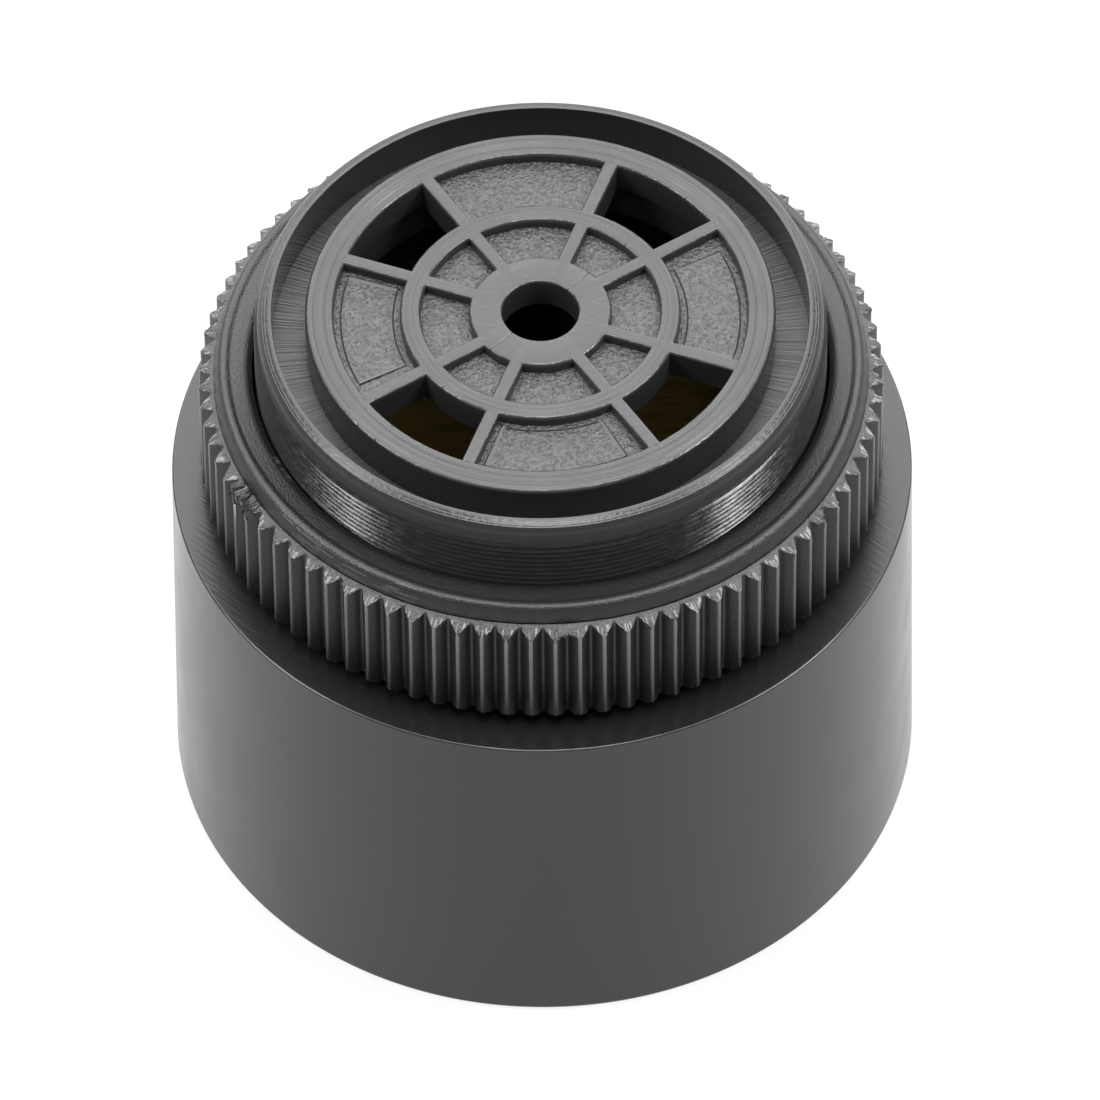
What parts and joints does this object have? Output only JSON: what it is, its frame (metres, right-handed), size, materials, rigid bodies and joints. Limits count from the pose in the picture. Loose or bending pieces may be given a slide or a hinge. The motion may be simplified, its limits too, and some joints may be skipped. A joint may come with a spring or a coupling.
{
  "type": "panel-mount piezo buzzer",
  "caption": "Round black panel buzzer with a threaded neck, a spoked sound grille and a knurled ring nut that clamps it in a panel hole.",
  "frame": {"origin": "centre of the back rim, on the surface that the buzzer stands on", "axes": "+Z along the neck towards the grille, the way the sound leaves; +X through the two terminals"},
  "size_m": [0.0396, 0.0396, 0.034],
  "materials": {
    "housing_plastic": "satin black moulded plastic",
    "nut_plastic": "satin black moulded plastic",
    "brass": "rolled brass",
    "piezo_ceramic": "silvered ceramic",
    "inner_plastic": "black moulded plastic",
    "board": "brown laminate",
    "ferrite": "pressed ferrite",
    "copper": "enamelled copper wire",
    "tinned_wire": "tinned wire",
    "epoxy": "moulded epoxy",
    "can_aluminium": "drawn can",
    "resistor_lacquer": "lacquer",
    "black_insulation": "insulated lead",
    "red_insulation": "insulated lead",
    "blue_insulation": "insulated lead",
    "cover_plastic": "black moulded plastic",
    "plated_steel": "zinc plated"
  },
  "bodies": {
    "buzzer": {"housing": "housing_plastic", "piezo_plate": "brass", "piezo_ceramic": "piezo_ceramic", "spacer_sleeve": "inner_plastic", "circuit_board": "board", "coil_core": "ferrite", "coil_winding": "copper", "coil_pins": "tinned_wire", "transistor_body": "epoxy", "transistor_legs": "tinned_wire", "capacitor_can": "can_aluminium", "capacitor_legs": "tinned_wire", "diode_body": "epoxy", "diode_leads": "tinned_wire", "resistor_bodies": "resistor_lacquer", "resistor_leads": "tinned_wire", "plate_lead": "black_insulation", "ceramic_lead": "red_insulation", "feedback_lead": "blue_insulation", "back_cover": "cover_plastic", "terminal_posts": "brass", "terminal_washers": "plated_steel", "terminal_screws": "plated_steel"},
    "nut": {"ring_nut": "nut_plastic"}
  },
  "joints": [
    {"name": "ring_nut_unscrew", "type": "slide", "parent": "buzzer", "child": "nut", "axis": [0, 0, 1], "range_m": [0, 0.015]}
  ]
}
